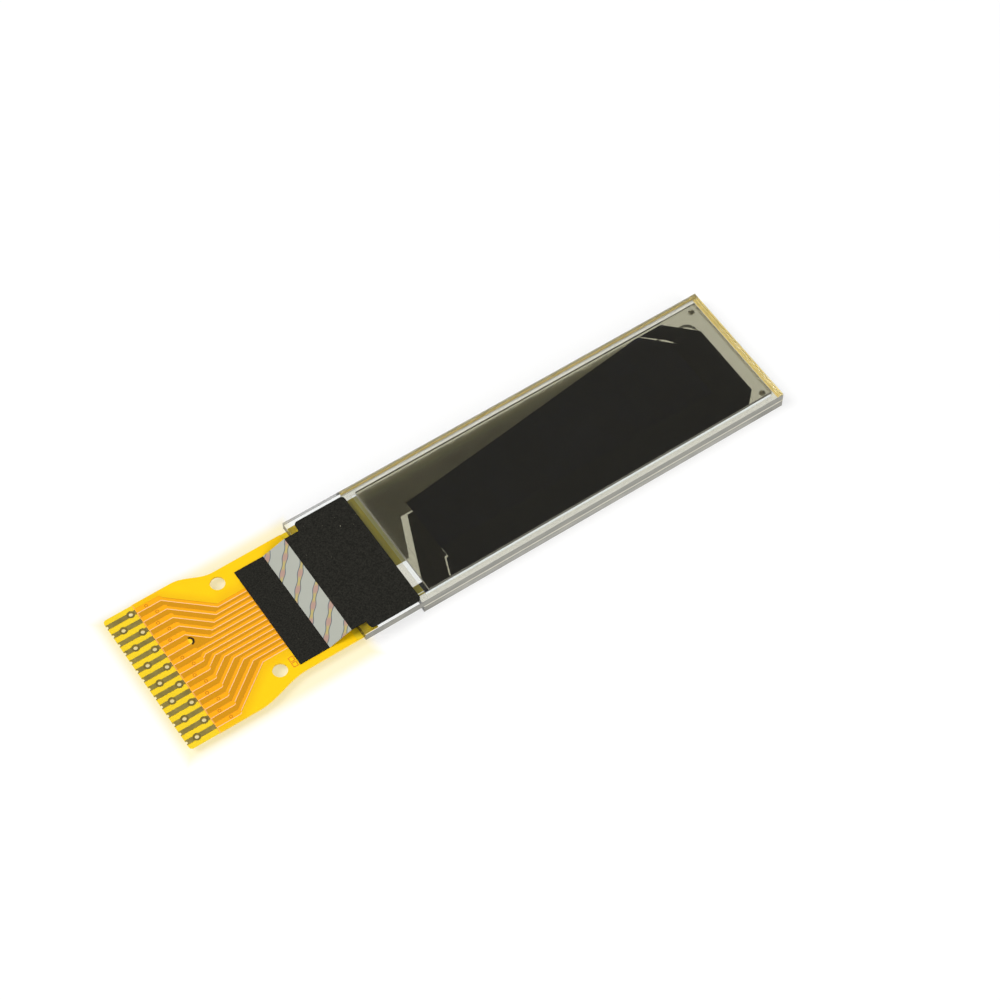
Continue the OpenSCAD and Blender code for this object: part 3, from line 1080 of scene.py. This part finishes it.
@dataclass
class GlassPanel:
    """The two glasses, their seal, the drying sheet and the polarizer."""

    film_gap: float = 0.0012
    edge_break: float = 0.018
    film_edge_break: float = 0.012
    sheet_start: float = 6.2
    sheet_corner: float = 0.35

    def soften(self, piece: bpy.types.Object, bevel: float) -> None:
        """Break a plate's edges and keep its faces a hair off its neighbours.

        Args:
            piece: The plate's object.
            bevel: Width of the broken edge.
        """
        weld = piece.modifiers.new("weld", "WELD")
        weld.merge_threshold = TOUCHING
        broken = piece.modifiers.new("broken_edge", "BEVEL")
        broken.width = bevel * MM
        broken.segments = 2
        broken.limit_method = "ANGLE"
        shrink = piece.modifiers.new("film_gap", "DISPLACE")
        shrink.strength = -self.film_gap * MM
        shrink.mid_level = 0.0

    def drying_sheet(self) -> None:
        """Cut the drying sheet with round corners, behind the picture area."""
        low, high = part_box("desiccant_sheet")
        low.x = Plan.point(self.sheet_start, 0.0, 0.0).x
        piece = slab(low, high)
        bpy.ops.mesh.bevel(offset=self.sheet_corner * MM, segments=6, affect="VERTICES")
        thicken(high.z - low.z)
        add(piece, "drying_sheet", DesiccantSheet().material())
        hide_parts("desiccant_sheet")

    def build(self) -> None:
        """Dress the glasses, the seal and the polarizer, and cut the drying sheet."""
        glass = PanelGlass().material()
        for node in ("substrate_glass", "cap_glass"):
            self.soften(dress(node, glass), self.edge_break)
        polarizer = dress("front_polarizer", PolarizerFilm().material())
        self.soften(polarizer, self.film_edge_break)
        dress("perimeter_seal", SealResin().material())
        self.drying_sheet()


@dataclass
class DisplayFilms:
    """The films on the inside of the front glass."""

    margin: float = 0.15
    fan_tip: tuple[float, float] = (22.01, 3.45)
    slit_end: tuple[float, float] = (23.96, 1.6)
    edge_x: float = 23.36
    slit: float = 0.15
    strip_x: tuple[float, float] = (3.95, 5.52)
    strip_y: tuple[float, float] = (-3.43, -3.22)
    strip_corner: float = 0.03

    def emitter_and_fan_shade_film(self) -> None:
        """Cut the emitter film so that it also backs the segment fan's columns, as a dark sheet
        for shade.
        """
        low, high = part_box("emitter_layer")
        first = Plan.x_of(low)
        side = high.y / MM
        corner = Plan.point(first, side, 0.0)
        # Beyond the picture area, up to the fan's tip, the film is a dark sheet put in for
        # shade.
        tip = Plan.point(*self.fan_tip, 0.0)
        beside = Plan.point(self.fan_tip[0] + self.slit, self.fan_tip[1], 0.0)
        end = Plan.point(*self.slit_end, 0.0)
        low.y -= self.margin * MM
        piece = slab(low, Vector((end.x, tip.y, high.z)))
        rise = tip - corner
        trim(corner, (-rise.y, rise.x, 0.0))
        fall = end - beside
        trim(beside, (-fall.y, fall.x, 0.0))
        edge = Plan.point(self.edge_x, side + 0.01, 0.0)
        for normal in ((1.0, 0.0, 0.0), (0.0, 1.0, 0.0)):
            bpy.ops.mesh.select_all(action="SELECT")
            bpy.ops.mesh.bisect(plane_co=edge, plane_no=normal, threshold=TOUCHING)
        for face in unpick(piece):
            face.select = face.center.x > edge.x and face.center.y < edge.y
        bpy.ops.object.mode_set(mode="EDIT")
        bpy.ops.mesh.delete(type="FACE")
        thicken(high.z - low.z)
        finish = DarkFilm("emitter", display(22, 26, 52), display(28, 32, 62))
        add(piece, "emitter_and_fan_shade_film", finish.material())
        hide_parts("emitter_layer")

    def slit_insulation(self) -> None:
        """Lay a narrow insulating strip under the slit beside the near leads."""
        low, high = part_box("emitter_layer")
        start = Plan.point(self.strip_x[0], self.strip_y[0], low.z / MM)
        end = Plan.point(self.strip_x[1], self.strip_y[1], low.z / MM)
        piece = slab(start, end)
        bpy.ops.mesh.bevel(offset=self.strip_corner * MM, segments=3, affect="VERTICES")
        thicken(high.z - low.z)
        finish = PlainFinish("insulation", display(40, 38, 34), display(32, 30, 28), Sheen.MATT)
        add(piece, "slit_insulation", finish.material())

    def build(self) -> None:
        """Dress every film and cut the emitter film."""
        dress("segment_leads", SegmentLeadFilm().material())
        left = CommonLeadFilm("left_lead_metal", display(58, 57, 54), display(40, 40, 40))
        dress("common_leads_left", left.material())
        right = CommonLeadFilm("right_lead_metal", display(34, 37, 52), display(26, 28, 42))
        dress("common_leads_right", right.material())
        dress("input_leads", InputLeadFilm().material())
        columns = DarkFilm("clear_conductor", display(26, 31, 62), display(32, 37, 74))
        dress("column_anodes", columns.material())
        self.emitter_and_fan_shade_film()
        self.slit_insulation()
        dress("row_cathodes", CathodeMetal().material())
        mark = PlainFinish(
            "mark_metal", display(236, 234, 226), display(222, 220, 210), Sheen.BRIGHT
        )
        dress("alignment_marks", mark.material())


@dataclass
class LedgeUnderside:
    """The driver chip and what bonds and covers it."""

    def build(self) -> None:
        """Dress the chip, its bond films and the clear coat."""
        dress("driver_chip", ChipSilicon().material())
        bond = BondFilm().material()
        dress("chip_bond_film", bond)
        dress("flex_bond_film", bond)
        dress("lead_coating", ClearCoat().material())


@dataclass
class SolderTail:
    """The flexible tail: base film, coverlays, the lines' relief and plated contacts."""

    pad_count: int = 14
    copper_z: float = 0.51
    relief_lift: float = 0.027
    relief_shoulder: float = 0.035
    relief_rise: float = 0.01
    tape_clearance: float = 0.005
    flat_angle: float = math.radians(1.0)
    mark_side: float = 0.3
    mark_line: float = 0.045
    mark_x: float = -3.7
    mark_y: tuple[float, float] = (-2.83, -3.17)
    mark_height: float = 0.008

    def line_relief(self, number: int) -> bpy.types.Object:
        """Shape the coverlay's swelling over one contact.

        Args:
            number: The contact's number, from 1.

        Returns:
            A closed low ridge with the contact's own outline, from the coverlay's edge to
            the tape.
        """
        mesh = bpy.data.objects[f"contact_{number:02d}"].data.copy()
        piece = bpy.data.objects.new(f"line_relief_{number:02d}", mesh)
        bpy.context.scene.collection.objects.link(piece)
        select_only(piece)
        bpy.ops.object.mode_set(mode="EDIT")
        bpy.ops.mesh.select_all(action="SELECT")
        bpy.ops.mesh.remove_doubles(threshold=TOUCHING)
        trim(Plan.point(Plan.coverlay_x, 0.0, 0.0), (-1.0, 0.0, 0.0), fill=True)
        tape = Plan.point(Plan.tape_low_x - self.tape_clearance, 0.0, 0.0)
        trim(tape, (1.0, 0.0, 0.0), fill=True)
        trim(Plan.point(0.0, 0.0, self.copper_z), (0.0, 0.0, -1.0), fill=True)
        bpy.ops.mesh.select_all(action="SELECT")
        bpy.ops.mesh.dissolve_limited(angle_limit=self.flat_angle)
        bpy.ops.transform.translate(value=(0.0, 0.0, self.relief_lift * MM))
        for face in unpick(piece):
            face.select = face.normal.z > 0.9
        bpy.ops.object.mode_set(mode="EDIT")
        bpy.ops.mesh.inset(thickness=self.relief_shoulder * MM)
        bpy.ops.transform.translate(value=(0.0, 0.0, self.relief_rise * MM))
        bpy.ops.object.mode_set(mode="OBJECT")
        return piece

    def relief(self) -> None:
        """Join the ridges over all contacts into one piece."""
        ridges = [self.line_relief(number) for number in range(1, self.pad_count + 1)]
        finish = RaisedCoverlay(
            "raised_coverlay", display(255, 172, 6), display(248, 158, 8)
        )
        add(join(ridges), "line_relief", finish.material())

    def fold_mark(self, y: float) -> bpy.types.Object:
        """Shape one open square that marks the tape's place on the coverlay.

        Args:
            y: Its centre across the tail.

        Returns:
            The raised square frame.
        """
        half = self.mark_side / 2
        foot = Plan.coverlay_top - self.mark_height / 2
        low = Plan.point(self.mark_x - half, y - half, foot)
        piece = slab(low, Plan.point(self.mark_x + half, y + half, foot))
        bpy.ops.mesh.inset(thickness=self.mark_line * MM)
        bpy.ops.mesh.delete(type="FACE")
        thicken(self.mark_height * MM)
        return piece

    def marks(self) -> None:
        """Make the pair of open squares beside the tape."""
        squares = [self.fold_mark(y) for y in self.mark_y]
        finish = PlainFinish("mark_copper", display(226, 140, 12), display(214, 128, 14))
        add(join(squares), "fold_marks", finish.material())

    def build(self) -> None:
        """Dress the films and the contacts, and raise the coverlay over the lines."""
        base = PolyimideFilm("base_polyimide", display(242, 208, 34), display(230, 192, 28))
        dress("flex_base_film", base.material())
        cover = CoverlayFilm(
            "coverlay_polyimide", display(255, 206, 4), display(255, 196, 6)
        ).material()
        dress("front_coverlay", cover)
        dress("back_coverlay", cover)
        metal = ContactMetal().material()
        for number in range(1, self.pad_count + 1):
            dress(f"contact_{number:02d}", metal)
        self.relief()
        self.marks()


@dataclass
class LightShieldTape:
    """The die-cut tape over the ledge and the tail."""

    ramp: tuple[float, float] = (-1.75, -0.43)

    def build(self) -> None:
        """Dress the tape."""
        Plan.ramp_low_x, Plan.ramp_high_x = self.ramp
        dress("light_shield_tape", TapeFilm().material())


# ---------------------------------------------------------------- studio


@dataclass(frozen=True)
class Lamp:
    """A soft square lamp that faces the object, with its place in metres and power in watts."""

    name: str
    place: tuple[float, float, float]
    side: float
    power: float

    def hang(self) -> None:
        """Put the lamp into the scene."""
        data = bpy.data.lights.new(self.name, "AREA")
        data.shape = "SQUARE"
        data.size = self.side
        data.energy = self.power
        lamp = bpy.data.objects.new(self.name, data)
        bpy.context.scene.collection.objects.link(lamp)
        lamp.location = self.place
        lamp.rotation_euler = (-Vector(self.place)).to_track_quat("-Z", "Y").to_euler()


@dataclass
class Studio:
    """Floor, lamps, sky and camera."""

    key: Lamp = Lamp("key", (-0.28, 0.10, 0.42), 0.26, 2.1)
    fill: Lamp = Lamp("fill", (0.10, -0.40, 0.32), 0.30, 1.3)
    aim: tuple[float, float, float] = (0.002218, -0.001073, 0.001)
    distance: float = 0.14635
    elevation: float = math.radians(57.72)
    heading: float = math.radians(-123.95)
    lens: float = 101.62
    floor_size: float = 4.0
    floor_white: Colour = (0.93, 0.93, 0.92)
    painted_spill: Colour = display(255, 240, 180)
    painted_spill_reach: float = 0.75
    floor_glow: float = 0.68
    floor_glow_through_glass: float = 0.95
    sky_top: float = 0.27
    sky_rim: float = 1.0
    rim_height: float = 0.5

    def camera(self) -> None:
        """Place the camera and make it the scene's own."""
        lens = bpy.data.cameras.new("camera")
        lens.lens = self.lens
        lens.sensor_width = 36.0
        lens.clip_start = 0.001
        lens.clip_end = 20.0
        camera = bpy.data.objects.new("camera", lens)
        bpy.context.scene.collection.objects.link(camera)
        away = Vector(
            (
                math.cos(self.heading) * math.cos(self.elevation),
                math.sin(self.heading) * math.cos(self.elevation),
                math.sin(self.elevation),
            )
        )
        camera.location = Vector(self.aim) + away * self.distance
        camera.rotation_euler = (-away).to_track_quat("-Z", "Y").to_euler()
        bpy.context.scene.camera = camera

    def floor(self) -> None:
        """Lay the pale floor, bright to the eye and plain to the light, with a painted yellow
        glow round the tail.
        """
        bpy.ops.object.select_all(action="DESELECT")
        bpy.ops.mesh.primitive_plane_add(size=self.floor_size)
        floor = bpy.context.object
        floor.name = "floor"
        bench = Bench.named("floor_white")
        path = bench.node("ShaderNodeLightPath")
        seen = Wire(bench, path.outputs["Is Camera Ray"])
        seen = seen.larger(Wire(bench, path.outputs["Is Glossy Ray"]))
        through = Wire(bench, path.outputs["Is Transmission Ray"])
        plain = bench.surface(Base_Color=self.floor_white, Roughness=0.9)
        x, y, _ = bench.place()
        # Painted light: a yellow glow on the floor round the tail, fading with distance from it.
        beside = (Plan.tail_x - x).larger(x).larger(abs(y) - Plan.tail_half).larger(0.0)
        painted_spill = bench.mix(beside.step(self.painted_spill_reach, -0.1), (1.0, 1.0, 1.0), self.painted_spill)
        bright = bench.node("ShaderNodeEmission", None, {"Color": painted_spill}).outputs[0]
        glow = (seen * self.floor_glow).larger(through * self.floor_glow_through_glass)
        floor.data.materials.append(bench.finish(bench.layered(glow, plain, bright)))

    def sky(self) -> None:
        """Light the scene from a pale rim and a darker top."""
        world = bpy.data.worlds.new("studio_sky")
        bpy.context.scene.world = world
        bench = Bench(world)
        spot = bench.node("ShaderNodeTexCoord").outputs["Generated"]
        height = bench.node("ShaderNodeSeparateXYZ", None, {0: spot}).outputs[2]
        rise = Wire(bench, height).step(self.rim_height * 0.7, self.rim_height)
        strength = rise * (self.sky_top - self.sky_rim) + self.sky_rim
        bench.finish(bench.node("ShaderNodeBackground", None, {"Strength": strength}).outputs[0])

    def build(self) -> None:
        """Set up the whole studio."""
        self.camera()
        self.floor()
        self.sky()
        self.key.hang()
        self.fill.hang()
        bpy.context.scene.view_settings.view_transform = "Standard"


def main() -> None:
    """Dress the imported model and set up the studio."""
    logging.basicConfig(level=logging.INFO, format="%(message)s")
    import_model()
    Plan.read()
    Studio().build()
    for part in (
        GlassPanel(),
        DisplayFilms(),
        LedgeUnderside(),
        SolderTail(),
        LightShieldTape(),
    ):
        part.build()


if __name__ == "__main__":
    main()
